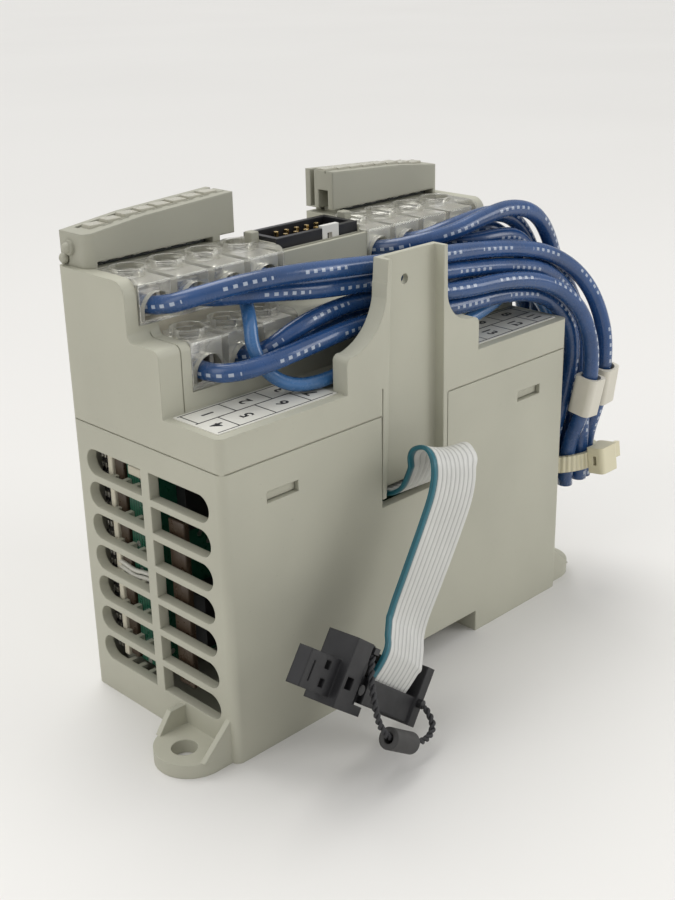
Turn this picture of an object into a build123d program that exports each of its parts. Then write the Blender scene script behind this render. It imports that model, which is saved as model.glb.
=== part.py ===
from build123d import *
import math
import os

os.makedirs("parts", exist_ok=True)

# Input module of a programmable controller, lying back-down: the rail side is at z = 0 and the
# wiring side faces +Z. X runs along the 90 mm side, -Y is the side with the flat bus cable.

# Driving dimensions, mm
LENGTH = 90.0
WIDTH = 40.4
PART_LINE_Z = 53.1          # split between the rear housing and the front cover
LEDGE_Z = 59.2              # label ledge
TREAD_Z = 70.5              # step between the two terminal rows
TOP_Z = 80.3                # upper level of the front cover
CROWN_Z = 88.6              # highest point of the display bars
CENTRE_Z = 79.05            # near edge of the cover beside the expansion header
CABLE_PASS_Z = 76.4         # floor of the pass between the display bars
LOW_RISER_Y = -6.3
TOP_RISER_Y = 1.6
WALL = 2.0
CORNER_R = 1.5
SEAM = 0.25                 # depth and width of the visible joint lines

RAIL_NOTCH = 36.0           # for a 35 mm rail
RAIL_NOTCH_DEPTH = 4.5
RAIL_LIP = 1.4              # free height over the hooks

LUG_PITCH = 100.0
LUG_HOLE_R = 2.3
LUG_Y = -12.4
LUG_THICK = 2.6
TAB_BACK_Y = -16.8          # back of the upright cable guide

TERMINAL_PITCH = 8.0
UPPER_ROW_X = [14.4 + TERMINAL_PITCH * i for i in range(4)]
LOWER_ROW_X = [18.4 + TERMINAL_PITCH * i for i in range(3)]
UPPER_SCREW_Y = 9.2
LOWER_SCREW_Y = -0.9
UPPER_WIRE_Z = 75.2
LOWER_WIRE_Z = 65.2
ACCESS_R = 2.7              # screwdriver holes in the clear guards
SCREW_HEAD_R = 2.3
SCREW_HEAD_H = 1.8
SCREW_R = 1.45
CAGE_WIDTH = 6.0

WIRE_D = 3.2
THIN_WIRE_D = 2.4           # the pale wire
RIBBON_W = 12.7             # ten conductors at 1.27
RIBBON_T = 0.9

BAR_NEAR_Y = 12.75          # near face of the display bars
BAR_LOW_Z = 81.3            # underside of the display bars
CAP_PITCH = 3.48
CAP_HALF = 1.5

BUNDLE_X, BUNDLE_Y = 54.5, -13.0    # middle of the tied wires
HALF_L = LENGTH / 2
HALF_W = WIDTH / 2


def block(x0, x1, y0, y1, z0, z1):
    """An upright box between two corners."""
    return Pos((x0 + x1) / 2, (y0 + y1) / 2, (z0 + z1) / 2) * Box(x1 - x0, y1 - y0, z1 - z0)


def rod(x, y, z0, z1, radius):
    """An upright round bar."""
    return Pos(x, y, (z0 + z1) / 2) * Cylinder(radius, z1 - z0)


def yz_prism(points, x0, x1):
    """A Y-Z outline carried along X."""
    with BuildPart() as prism:
        with BuildSketch(Plane.YZ.offset(x0)):
            with BuildLine():
                Polyline(*points, close=True)
            make_face()
        extrude(amount=x1 - x0)
    return prism.part


def xz_prism(points, y0, y1):
    """An X-Z outline carried along Y."""
    with BuildPart() as prism:
        with BuildSketch(Plane.XZ.offset(-y0)):
            with BuildLine():
                Polyline(*points, close=True)
            make_face()
        extrude(amount=-(y1 - y0))
    return prism.part


def mirrored(shape):
    return mirror(shape, about=Plane.YZ)


def save(name, shape):
    """Writes one sub-part; several separate solids go out as one compound."""
    solids = shape.solids() if hasattr(shape, "solids") else shape
    export_step(solids[0] if len(solids) == 1 else Compound(children=list(solids)), f"parts/{name}.step")


# ---------------------------------------------------------------- housing

def lug():
    """Panel-mounting ear on the -X end, with a web on each side."""
    plate = rod(-48.4, LUG_Y + 0.1, 0, LUG_THICK, 6.6)
    plate += block(-48.4, -HALF_L + 0.5, LUG_Y - 6.5, LUG_Y + 6.7, 0, LUG_THICK)
    near = xz_prism([(-HALF_L + 0.5, LUG_THICK), (-HALF_L + 0.5, 8.3), (-HALF_L, 8.3),
                     (-51.0, LUG_THICK)], LUG_Y - 6.5, LUG_Y - 5.4)
    far = xz_prism([(-HALF_L + 0.5, LUG_THICK), (-HALF_L + 0.5, 6.3), (-48.3, 6.3),
                    (-51.0, LUG_THICK)], LUG_Y + 5.6, LUG_Y + 6.7)
    return plate + near + far - rod(-LUG_PITCH / 2, LUG_Y, -1, LUG_THICK + 1, LUG_HOLE_R)


def vent_slots():
    """Two columns of seven slots through the -X end wall, round at their outer ends."""
    cut = []
    for row in range(7):
        low = 43.7 - 6.15 * row
        for side in (-1, 1):
            outer = Pos(-HALF_L, side * 14.2, low + 2.45) * Rot(0, 90, 0) * Cylinder(2.45, 8)
            slot = block(-HALF_L - 4, -HALF_L + 4, min(side * 1.1, side * 14.2),
                         max(side * 1.1, side * 14.2), low, low + 4.9)
            cut.append(outer + slot)
    return cut


def rear_housing():
    shell = block(-HALF_L, HALF_L, -HALF_W, HALF_W, 0, PART_LINE_Z)
    shell = fillet(shell.edges().filter_by(Axis.Z), CORNER_R)
    inner_x, inner_y = HALF_L - WALL, HALF_W - WALL
    deck_z = RAIL_NOTCH_DEPTH + WALL
    shell -= block(-inner_x, -RAIL_NOTCH / 2 - WALL, -inner_y, inner_y, WALL, PART_LINE_Z + 1)
    shell -= block(RAIL_NOTCH / 2 + WALL, inner_x, -inner_y, inner_y, WALL, PART_LINE_Z + 1)
    shell -= block(-RAIL_NOTCH / 2 - WALL - 1, RAIL_NOTCH / 2 + WALL + 1, -inner_y, inner_y,
                   deck_z, PART_LINE_Z + 1)
    shell -= block(-RAIL_NOTCH / 2, RAIL_NOTCH / 2, -HALF_W - 1, HALF_W + 1, -1, RAIL_NOTCH_DEPTH)
    hook_top = RAIL_NOTCH_DEPTH - RAIL_LIP
    for y in (-8.0, 8.0):
        shell += block(-RAIL_NOTCH / 2 - 0.5, -RAIL_NOTCH / 2 + 1.4, y - 4, y + 4, 0, hook_top)
    # covered channel for the rail latch in the +X foot
    shell += block(RAIL_NOTCH / 2, inner_x + 0.5, -1.5, 11.5, WALL - 0.5, 6.0)
    shell -= block(RAIL_NOTCH / 2 - 1, HALF_L + 1, 0.5, 9.5, -1, 1.3)
    shell -= block(RAIL_NOTCH / 2 - 1, HALF_L + 1, -0.5, 10.5, 1.2, 4.2)
    # screw posts in the four corners
    for x in (-38.5, 38.5):
        for y in (-14.8, 14.8):
            shell += rod(x, y, 1, 50.0, 2.6)
            shell -= rod(x, y, 30.0, 51.0, 1.1)
    # board guides on the end walls
    for x in (-inner_x, inner_x):
        inward = 1.5 if x < 0 else -1.5
        for y in (2.8, 5.8, 8.9, 11.9):
            rib = block(min(x, x + inward), max(x, x + inward), y - 0.5, y + 0.5, 6, 50)
            shell += rib
    for slot in vent_slots():
        shell -= slot
        shell -= mirrored(slot)
    # snap windows on both long sides, and the gap for the front cover's tongue
    for side in (-1, 1):
        for x in (-32.3, 32.9):
            shell -= block(x - 3.5, x + 3.5, side * HALF_W - 3, side * HALF_W + 3, 45.7, 47.7)
    shell -= block(-8.8, 8.8, -HALF_W - 1, -HALF_W + 3, 35.9, PART_LINE_Z + 1)
    return shell + lug() + mirrored(lug())


def stepped_outline(inset):
    """End profile of the front cover, set in by the wall thickness."""
    near, far = -HALF_W + inset, HALF_W - inset
    base = PART_LINE_Z - (1 if inset else 0)
    return [(near, base), (near, LEDGE_Z - inset), (LOW_RISER_Y + inset, LEDGE_Z - inset),
            (LOW_RISER_Y + inset, TREAD_Z - inset), (TOP_RISER_Y + inset, TREAD_Z - inset),
            (TOP_RISER_Y + inset, TOP_Z - inset), (far, TOP_Z - inset), (far, base)]


def cable_tab():
    """Upright guide on the near side: a channel for the flat cable between two flared feet."""
    top = TOP_Z + 0.1
    with BuildPart() as feet:
        with BuildSketch(Plane.XZ.offset(HALF_W)):
            with BuildLine():
                Polyline((-7.3, top - 4), (-7.4, 73.8))
                ThreePointArc((-7.4, 73.8), (-10.1, 68.5), (-15.4, 65.6))
                ThreePointArc((-15.4, 65.6), (-16.6, 65.4), (-17.0, 64.4))
                Polyline((-17.0, 64.4), (-17.0, LEDGE_Z - 1), (17.2, LEDGE_Z - 1), (17.2, 64.2))
                ThreePointArc((17.2, 64.2), (16.8, 65.2), (15.8, 65.6))
                Line((15.8, 65.6), (13.4, 65.9))
                ThreePointArc((13.4, 65.9), (9.9, 67.9), (8.3, 72.4))
                Polyline((8.3, 72.4), (8.0, top - 4), (-7.3, top - 4))
            make_face()
        extrude(amount=-(HALF_W + TAB_BACK_Y))
    rail = xz_prism([(-8.6, 37.5), (8.6, 37.5), (8.6, 60), (8.2, top), (-6.9, top), (-8.3, 60)],
                    -HALF_W, TAB_BACK_Y)
    channel_outline = [(-7.7, 36), (7.6, 36), (7.3, top + 1), (-6.0, top + 1)]
    channel = xz_prism(channel_outline, -HALF_W - 1, TAB_BACK_Y - 1.2)
    tab = feet.part + rail - channel
    tab -= block(-7.7, 7.6, -HALF_W, TAB_BACK_Y + 1, 37, 38.4)
    return tab - Pos(-0.5, TAB_BACK_Y, 75.6) * Rot(90, 0, 0) * Cylinder(0.9, 6)


def snap_tongue(x, side):
    """A springy tongue behind the long wall, with its hook in the snap window."""
    inner = side * (HALF_W - WALL - 0.1)
    plate = block(x - 3.3, x + 3.3, min(inner, inner - side * 1.5), max(inner, inner - side * 1.5),
                  45.0, LEDGE_Z - 1)
    hook = block(x - 3.3, x + 3.3, min(inner - side * 0.2, inner + side * 1.2),
                 max(inner - side * 0.2, inner + side * 1.2), 45.9, 47.4)
    root = block(x - 3.3, x + 3.3, min(inner, inner + side * 0.5), max(inner, inner + side * 0.5),
                 54.5, LEDGE_Z - 1)
    return plate + hook + root


def cover_grooves():
    """Joint lines of the -X half: round the foot of the cover and beside the terminal guards."""
    deep = SEAM + 0.05
    around = block(-HALF_L - 1, 0, -HALF_W - 1, HALF_W + 1, PART_LINE_Z - 1, PART_LINE_Z + SEAM)
    around -= block(-HALF_L + SEAM, 1, -HALF_W + SEAM, HALF_W - SEAM, PART_LINE_Z - 2, PART_LINE_Z + 1)
    around -= block(-8.8, 1, -HALF_W - 2, 0, PART_LINE_Z - 2, PART_LINE_Z + 1)
    centre_y, centre_z, inner_r = LOW_RISER_Y + 1.4, TREAD_Z - 1.4, 1.4 - deep
    bend = [(centre_y + inner_r * math.cos(math.radians(a)), centre_z + inner_r * math.sin(math.radians(a)))
            for a in (90, 112.5, 135, 157.5, 180)]
    low = yz_prism([(LOW_RISER_Y - 1, LEDGE_Z), (LOW_RISER_Y - 1, TREAD_Z + 1), (TOP_RISER_Y, TREAD_Z + 1),
                    (TOP_RISER_Y, TREAD_Z - deep)] + bend + [(LOW_RISER_Y + deep, LEDGE_Z)], -40.6, -40.4)
    return [around, low]


def front_cover():
    cover = yz_prism(stepped_outline(0), -HALF_L, HALF_L)
    along_x = cover.edges().filter_by(Axis.X)
    cover = fillet(along_x.filter_by_position(Axis.Z, TOP_Z - 0.1, TOP_Z + 0.1)
                   .filter_by_position(Axis.Y, 0, 3), 2.6)
    along_x = cover.edges().filter_by(Axis.X)
    cover = fillet(along_x.filter_by_position(Axis.Z, TREAD_Z - 0.1, TREAD_Z + 0.1), 1.4)
    uprights = cover.edges().filter_by(Axis.Z).filter_by_position(Axis.Y, -HALF_W - 0.1, -HALF_W + 0.1)
    cover = fillet(uprights, CORNER_R)
    far_uprights = cover.edges().filter_by(Axis.Z).filter_by_position(Axis.Y, HALF_W - 0.1, HALF_W + 0.1)
    cover = fillet(far_uprights, CORNER_R)
    cover -= yz_prism(stepped_outline(WALL), -HALF_L + WALL, HALF_L - WALL)
    for mirror_it in (False, True):
        upper = block(-42.5, -10.65, 1.0, 12.5, 72.7, TOP_Z + 1)
        deep = block(-42.5, -10.65, 2.0, 12.5, 60.0, 73)
        lower = block(-38.5, -14.65, LOW_RISER_Y - 1, 2.6, 62.2, 73.0)
        for opening in (upper, deep, lower):
            cover -= mirrored(opening) if mirror_it else opening
    # pass for the next module's cable, between the display bars
    cover += block(-17.0, 14.4, 12.7, HALF_W - 1, CABLE_PASS_Z - WALL, TOP_Z - 1)
    cover -= block(-15.5, 12.9, 12.6, HALF_W + 1, CABLE_PASS_Z, TOP_Z + 1)
    # opening for the expansion header, and the lower edge in front of it
    cover -= block(-10.3, 10.3, 3.55, 12.7, 70, TOP_Z + 1)
    cover += block(-10.65, 10.65, TOP_RISER_Y, TOP_RISER_Y + WALL, 75, CENTRE_Z)
    cover -= block(-10.65, 10.65, 0, 3.7, CENTRE_Z, TOP_Z + 1)
    cover -= block(-10.65, 10.65, TOP_RISER_Y + 0.8, TOP_RISER_Y + 1.9, CENTRE_Z - 1.5, TOP_Z + 1)
    # gap in the near wall, filled by the guide tab
    cover -= block(-8.6, 8.6, -HALF_W - 1, TAB_BACK_Y, 50, LEDGE_Z + 1)
    cover += cable_tab()
    for groove in cover_grooves():
        cover -= groove
        cover -= mirrored(groove)
    for x in (-32.3, 32.9):
        for side in (-1, 1):
            cover += snap_tongue(x, side)
    return cover


# ---------------------------------------------------------------- display bars

def bar_height(distance):
    """Top of the bar: two straight slopes that fall away from the middle of the module."""
    return CROWN_Z - 0.06 * (distance - 12) if distance < 32 else 87.4 - 0.12 * (distance - 32)


def display_bar(inner, outer, foot_front):
    """A -X side bar: hollow front rail with pockets for eight light caps, a slit, and a thin back wall."""
    outline = [(-outer, TOP_Z), (-outer, bar_height(outer)), (-32, bar_height(32)),
               (-inner, bar_height(inner)), (-inner, BAR_LOW_Z), (-41.8, BAR_LOW_Z), (-41.8, TOP_Z)]
    bar = xz_prism(outline, BAR_NEAR_Y, HALF_W)
    corners = bar.edges().filter_by(Axis.Z).filter_by_position(Axis.X, -outer - 0.1, -outer + 0.1)
    bar = fillet(corners.filter_by_position(Axis.Y, BAR_NEAR_Y - 0.1, BAR_NEAR_Y + 0.1), 1.9)
    bar += block(-41.8, -17.1, 16.7, 17.8, TOP_Z, BAR_LOW_Z)
    bar += block(-41.8, -15.5, 18.9, HALF_W, TOP_Z, BAR_LOW_Z)
    bar += block(-17.1, -15.5, foot_front, 17.8, TOP_Z, BAR_LOW_Z)
    bar -= block(-outer + 2.2, -inner + 1, 17.8, 18.9, BAR_LOW_Z + 0.2, CROWN_Z + 1)
    bar -= block(-outer + 2.2, -inner + 1, 14.1, 16.7, BAR_LOW_Z - 1, 84.9) - block(
        -17.1, -15.5, 14, 17, TOP_Z, BAR_LOW_Z)
    for x in indicator_places():
        top = bar_height(-x)
        bar -= block(x - CAP_HALF - 0.05, x + CAP_HALF + 0.05, 15.2, 17.8, top - 0.8, CROWN_Z + 1)
        bar -= block(x + 0.4, x + 2.6, 14.5, 14.8, top - 0.3, CROWN_Z + 1)
    # hinge pin and stop on the outer end
    pin = Pos(-outer, 17.3, 83.5) * Rot(0, 90, 0)
    bar += pin * Cylinder(1.25, 1.2)
    bar += Pos(-outer - 0.6, 17.3, 83.5) * Sphere(0.95)
    return bar + Pos(-outer - 0.2, 18.9, 81.5) * Sphere(1.0)


def indicator_places():
    return [-39.4 + CAP_PITCH * i for i in range(8)]


def indicator_caps():
    """Eight raised light caps, standing a little proud of the bar."""
    caps = []
    for x in indicator_places():
        top = bar_height(-x)
        caps.append(block(x - CAP_HALF, x + CAP_HALF, 15.25, 17.75, top - 0.75, top + 0.35))
    return caps


# ---------------------------------------------------------------- terminals

def guard_entry(x, wire_z, y_front):
    """Wire entry with an arched head."""
    arch_r = 3.1
    entry = block(x - arch_r, x + arch_r, y_front - 1, y_front + 1.6, wire_z - 2.1, wire_z - 0.5)
    head = Pos(x, y_front, wire_z - 0.6) * Rot(90, 0, 0) * Cylinder(arch_r, 4)
    entry += head & block(x - 4, x + 4, y_front - 1, y_front + 1.6, wire_z - 0.8, wire_z + 4)
    return entry


def clear_guard(centres, y_front, y_back, floor_z, top, wire_z, screw_y):
    """A clear finger guard over one row of terminals on the -X side."""
    half = TERMINAL_PITCH / 2 - 0.05
    x0, x1 = -max(centres) - half, -min(centres) + half - 0.3
    guard = block(x0, x1, y_front, y_back, floor_z, top)
    rim = guard.edges().filter_by(Axis.X).filter_by_position(Axis.Z, top - 0.1, top + 0.1)
    guard = fillet(rim.filter_by_position(Axis.Y, y_front - 0.1, y_front + 0.1), 1.6)
    for c in centres:
        guard -= block(-c - half + 0.65, min(-c + half - 0.65, x1 - 0.5), y_front + 1.1, y_back + 1,
                       floor_z - 1, top - 1.2)
        guard -= guard_entry(-c, wire_z, y_front)
        guard += rod(-c, screw_y, top - 0.6, top + 0.35, ACCESS_R + 0.55)
        guard -= rod(-c, screw_y, top - 2, top + 1, ACCESS_R)
    return guard


def upper_guard():
    return clear_guard(UPPER_ROW_X, TOP_RISER_Y - 0.45, 12.4, 72.75, TOP_Z, UPPER_WIRE_Z, UPPER_SCREW_Y)


def lower_guard():
    return clear_guard(LOWER_ROW_X, LOW_RISER_Y, 1.05, 62.4, 71.1, LOWER_WIRE_Z, LOWER_SCREW_Y)


def cage(x, y0, y1, wire_z):
    """Nickel box clamp: open to the wire, with the screw through its roof."""
    x0, x1 = x - CAGE_WIDTH / 2, x + CAGE_WIDTH / 2
    body = block(x0, x1, y0, y1, wire_z - 2.4, wire_z + 2.2)
    body -= block(x0 + 0.8, x1 - 0.8, y0 - 1, y1 - 0.8, wire_z - 1.6, wire_z + 1.2)
    hole_y = UPPER_SCREW_Y if wire_z > 70 else LOWER_SCREW_Y
    return body - rod(x, hole_y, wire_z, wire_z + 3, SCREW_R + 0.12)


def upper_cage(c):
    return cage(-c, 4.9, 11.8, UPPER_WIRE_Z)


def lower_cage(c):
    return cage(-c, -3.2, 2.4, LOWER_WIRE_Z)


def terminal_block():
    """Cream insulating block with a pocket for each clamp, -X side."""
    body = block(-42.3, -10.9, 2.9, 12.2, 60.4, 72.7)
    return body + block(-38.2, -15.0, -3.4, 2.9, 60.4, 62.3)


def terminal_screw(x, y, head_z):
    """Cheese-head screw with a combination slot."""
    screw = rod(x, y, head_z, head_z + SCREW_HEAD_H, SCREW_HEAD_R)
    screw = chamfer(screw.edges().filter_by_position(Axis.Z, head_z + 1.7, head_z + 1.9), 0.25)
    screw += rod(x, y, head_z - 3.3, head_z, SCREW_R)
    top = head_z + SCREW_HEAD_H
    screw -= block(x - 3, x + 3, y - 0.35, y + 0.35, top - 0.9, top + 1)
    return screw - block(x - 0.35, x + 0.35, y - 1.5, y + 1.5, top - 0.9, top + 1)


# ---------------------------------------------------------------- rail latch and inner parts

def rail_latch():
    """Sliding catch under the +X foot: nose under the rail, slotted pull at the end."""
    latch = block(RAIL_NOTCH / 2 - 1.6, 48.6, 0.8, 9.2, 0.15, 3.0)
    latch += block(RAIL_NOTCH / 2 + 2, 40.0, -0.2, 10.2, 1.6, 3.9)
    latch -= block(44.9 + 1.0, 47.5, 2.6, 7.4, -1, 4)
    nose = [(RAIL_NOTCH / 2 - 2, -0.5), (RAIL_NOTCH / 2 + 0.2, -0.5), (RAIL_NOTCH / 2 - 2, 1.7)]
    latch -= xz_prism(nose, -1, 11)
    for i in range(3):
        latch -= block(42.0 + 1.0 * i, 42.5 + 1.0 * i, 0.7, 9.3, -0.2, 0.45)
    return latch


def main_board():
    board = block(-41.2, 41.2, 3.5, 5.1, 7.0, 52.0)
    return board - block(-9, 9, 3, 6, 48, 53)


def relay_board():
    return block(-41.2, 41.2, 9.6, 11.2, 7.0, 52.0)


def terminal_board():
    return block(-40.0, 40.0, -15.5, 15.5, 54.6, 56.2) - block(-9, 9, -16, -12, 54, 57)


def main_board_parts():
    """Capacitors, packages and the cable connector on the near face of the main board."""
    parts = [block(-36, -26, 1.0, 3.5, 34, 46), block(-22, -14, 1.9, 3.5, 14, 26),
             block(16, 30, 1.9, 3.5, 30, 44), block(-36, -30, -2.5, 3.5, 12, 22),
             block(-8.5, 8.5, 1.5, 3.5, 33.6, 39.8)]
    for x in (14.0, 23.0, 32.0):
        parts.append(Pos(x, -1.5, 16) * Rot(90, 0, 0) * Cylinder(3.6, 10))
    return parts


def relay_board_parts():
    parts = []
    for i in range(4):
        x = -33 + 18 * i
        parts.append(block(x, x + 12, 11.2, 16.2, 30, 46))
        parts.append(block(x + 2, x + 9, 11.2, 13.0, 12, 24))
    return parts


def header_shell():
    """Box header for the next module's cable: 2 x 5 pins in a keyed shroud."""
    shell = block(-10.15, 10.15, 3.7, 12.5, 71.5, 81.0)
    shell -= block(-9.1, 9.1, 4.75, 11.45, 74.0, 82)
    shell -= block(1.1, 5.5, 3, 5, 75.5, 82)
    for x, y in header_pin_places():
        shell -= block(x - 0.32, x + 0.32, y - 0.32, y + 0.32, 70, 75)
    return shell


def header_pin_places():
    return [(2.54 * (i - 2), 8.1 + side * 1.27) for i in range(5) for side in (-1, 1)]


def header_pins():
    return [block(x - 0.32, x + 0.32, y - 0.32, y + 0.32, 56.3, 80.7) for x, y in header_pin_places()]


def header_key():
    """White polarising clip in the keyway of the shroud."""
    key = block(1.2, 5.4, 3.75, 4.7, 75.6, 81.4)
    return key - block(2.5, 3.7, 3, 5, 77.6, 79.95)


def label_strip():
    """Self-adhesive marking strip on the -X half of the ledge."""
    return block(-43.5, -17.4, -18.2, -7.0, LEDGE_Z, LEDGE_Z + 0.15)


# ---------------------------------------------------------------- loose wires

def ring_point(angle, z, reach=5.05):
    """A place in the tied bundle, by its angle round the middle."""
    turn = math.radians(angle)
    return (BUNDLE_X + reach * math.cos(turn), BUNDLE_Y + reach * math.sin(turn), z)


def core_point(angle, z):
    return ring_point(angle, z, 1.9)


WIRE_ROUTES = {
    "wire_upper_1": [(-39.2, 4.4, 75.2), (-39.4, -0.6, 75.7), (-36.4, -5.2, 77.4), (-29.4, -8.8, 78.9),
                     (-20.6, -10.9, 79.1), (-10.0, -12.2, 78.4), (4.0, -12.8, 77.0), (18.0, -12.6, 76.0),
                     (33.0, -13.2, 74.4), (46.8, -13.8, 71.4), (56.8, -16.0, 64.2), (59.4, -19.2, 54.6),
                     (58.8, -20.2, 46.2), (59.4, -18.8, 38.0), ring_point(-50, 29.2), ring_point(-50, 20.8)],
    "wire_upper_2": [(-30.8, 4.4, 75.2), (-31.0, -0.4, 75.4), (-28.6, -5.4, 76.1), (-22.4, -8.4, 76.0),
                     (-14.4, -9.9, 75.0), (-5.0, -11.4, 74.4), (7.0, -12.2, 73.6), (21.0, -12.6, 72.3),
                     (34.0, -13.4, 70.8), (45.0, -14.2, 68.2), (53.2, -15.0, 61.6), (56.6, -15.4, 53.4),
                     (55.6, -16.1, 45.0), (54.9, -18.0, 37.0), ring_point(-90, 28.8), ring_point(-90, 21.4)],
    "wire_upper_3": [(-22.4, 3.6, 75.1), (-22.6, -0.4, 75.1), (-24.6, -4.1, 74.5), (-26.8, -7.6, 71.9),
                     (-28.0, -9.2, 67.7), (-26.5, -11.1, 63.3), (-22.9, -13.4, 60.8), (-17.6, -14.8, 60.7),
                     (-11.8, -14.1, 60.9), (-4.0, -12.8, 61.1), (6.0, -12.2, 61.4), (18.0, -12.9, 61.6),
                     (28.4, -12.4, 62.8), (37.4, -11.2, 64.8), (45.2, -11.2, 63.0), (49.6, -12.0, 57.4),
                     (50.6, -12.0, 50.4), (50.8, -12.2, 42.5), (52.8, -12.3, 35.4),
                     core_point(170, 28.2), core_point(170, 21.0)],
    "wire_upper_4": [(-14.8, 4.4, 75.2), (-14.0, -1.0, 75.4), (-9.8, -5.6, 75.4), (-2.0, -8.0, 75.0),
                     (9.0, -8.6, 74.4), (21.0, -8.2, 73.4), (33.0, -8.4, 73.2), (43.4, -9.4, 72.4),
                     (52.6, -11.2, 67.6), (58.2, -12.4, 58.8), (60.6, -13.0, 49.6), (60.9, -13.8, 41.2),
                     (60.6, -13.6, 34.6), ring_point(-10, 28.2), ring_point(-10, 21.8)],
    "wire_lower_1": [(-35.4, -3.4, 64.9), (-35.5, -7.6, 64.9), (-32.8, -11.4, 65.3), (-27.0, -13.3, 66.2),
                     (-18.4, -13.7, 67.2), (-7.6, -13.3, 68.0), (5.0, -13.1, 67.2), (18.0, -13.8, 65.9),
                     (31.0, -14.6, 66.0), (42.0, -15.2, 64.0), (49.8, -16.2, 58.6), (52.8, -16.4, 50.8),
                     (51.8, -16.0, 42.6), (49.6, -15.4, 35.4), ring_point(-170, 28.6), ring_point(-170, 21.8)],
    "wire_lower_2": [(-26.2, -3.4, 65.2), (-25.9, -6.8, 65.5), (-23.8, -9.4, 67.0), (-19.6, -10.4, 69.3),
                     (-12.6, -10.5, 70.8), (-3.4, -10.4, 71.1), (7.4, -12.2, 70.2), (18.0, -14.8, 69.2),
                     (30.0, -16.6, 69.3), (40.6, -17.8, 67.2), (48.4, -19.6, 61.8), (51.8, -21.2, 54.2),
                     (51.6, -21.9, 46.0), (51.0, -20.6, 37.6), ring_point(-130, 29.2), ring_point(-130, 20.6)],
    "wire_lower_3": [(-18.4, -3.4, 65.2), (-17.6, -7.3, 65.5), (-14.2, -9.7, 66.6), (-7.0, -9.2, 67.6),
                     (2.0, -8.4, 68.0), (13.0, -8.9, 67.8), (25.0, -9.4, 68.6), (36.0, -9.2, 69.2),
                     (46.0, -9.6, 67.0), (52.4, -11.2, 60.6), (55.0, -12.2, 52.6), (55.8, -12.2, 44.4),
                     (56.4, -13.0, 37.0), core_point(10, 28.4), core_point(10, 20.2)],
    "wire_right_1": [(13.3, 4.4, 75.2), (14.2, -0.6, 75.6), (18.0, -4.6, 76.8), (25.4, -6.8, 77.6),
                     (33.0, -7.6, 79.4), (41.5, -8.0, 80.4), (49.4, -8.2, 78.0), (54.8, -8.0, 71.6),
                     (57.8, -8.0, 63.0), (58.8, -8.7, 54.0), (59.1, -9.2, 45.0), (59.5, -10.0, 37.4),
                     ring_point(30, 29.0), ring_point(30, 21.2)],
    "wire_right_2": [(22.0, 4.2, 75.2), (22.6, -0.4, 75.7), (26.4, -2.8, 77.2), (32.6, -3.6, 78.2),
                     (40.4, -3.8, 78.8), (47.6, -4.0, 76.8), (52.6, -4.6, 70.8), (54.9, -5.4, 62.4),
                     (55.6, -6.2, 53.6), (55.9, -6.8, 45.0), (56.6, -7.6, 37.2), ring_point(70, 29.2),
                     ring_point(70, 21.6)],
    "wire_right_3": [(30.2, 3.4, 75.0), (30.6, -1.2, 74.6), (34.2, -4.6, 74.2), (40.0, -5.8, 74.4),
                     (46.2, -6.2, 73.6), (50.4, -6.9, 68.6), (51.6, -7.4, 61.2), (51.4, -8.0, 53.4),
                     (50.6, -8.2, 45.6), (49.6, -9.3, 37.6), ring_point(150, 29.6), ring_point(150, 21.8)],
    "wire_right_4": [(38.4, 3.2, 75.2), (39.0, -0.6, 75.3), (42.6, -2.2, 75.2), (47.2, -2.4, 72.6),
                     (50.4, -2.9, 67.4), (51.7, -3.6, 60.0), (52.2, -4.4, 52.4), (52.4, -5.3, 44.8),
                     (52.8, -6.8, 37.4), ring_point(110, 29.6), ring_point(110, 21.8)],
}


def route_line(points):
    """Straight runs joined by the largest tangent arcs that the runs allow."""
    corners = [Vector(*p) for p in points]
    radii, turns = [], []
    for before, corner, after in zip(corners, corners[1:], corners[2:]):
        into, out = corner - before, after - corner
        turn = into.get_angle(out)
        turns.append(turn)
        radii.append(0.45 * min(into.length, out.length) / math.tan(math.radians(turn / 2)))
    return FilletPolyline(*points, radius=radii), radii, turns


def round_cord(name, points, diameter):
    """A round tube along a route; prints its radii and how far its volume is from its length."""
    line, radii, turns = route_line(points)
    tube = sweep(Plane(line @ 0, z_dir=line % 0) * Circle(diameter / 2), path=line)
    expected = math.pi * diameter ** 2 / 4 * line.length
    print(name, "length", round(line.length, 1), "volume ratio", round(tube.volume / expected, 4),
          "max turn", round(max(turns)), "radii", [round(r, 1) for r in radii])
    return tube


def wire_marker(start, end, half):
    """A slip-on marker: a square-backed sleeve round a straight stretch of a wire."""
    low, high = Vector(*start), Vector(*end)
    middle = (low + high) * 0.5
    base = Plane(middle, z_dir=(high - low).normalized())
    sleeve = extrude(base * RectangleRounded(5.0, 5.0, 1.2), amount=half, both=True)
    return sleeve - extrude(base * Circle(WIRE_D / 2 + 0.45), amount=half + 1, both=True)


def tie_frame():
    return Pos(BUNDLE_X, BUNDLE_Y, 25.4) * Rot(-8, 0, 0)


def cable_tie_band():
    band = Cylinder(8.2, 3.4) - Cylinder(7.15, 5)
    return tie_frame() * (band - Pos(1.6, -8, 0) * Box(3.0, 3, 3.6))


def cable_tie_head():
    """Ratchet head with the cut tail of the band standing out of it."""
    head = Pos(1.6, -9.6, 0) * Box(5.6, 4.4, 5.6)
    head = fillet(head.edges().filter_by(Axis.Z), 0.9)
    tail = Pos(6.4, -9.0, 0) * Box(4.4, 1.0, 3.2)
    head = head + tail - Pos(1.6, -9.8, 0) * Box(7.6, 0.8, 2.0)
    return tie_frame() * (head - Cylinder(8.22, 8))


# ---------------------------------------------------------------- bus cable

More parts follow.
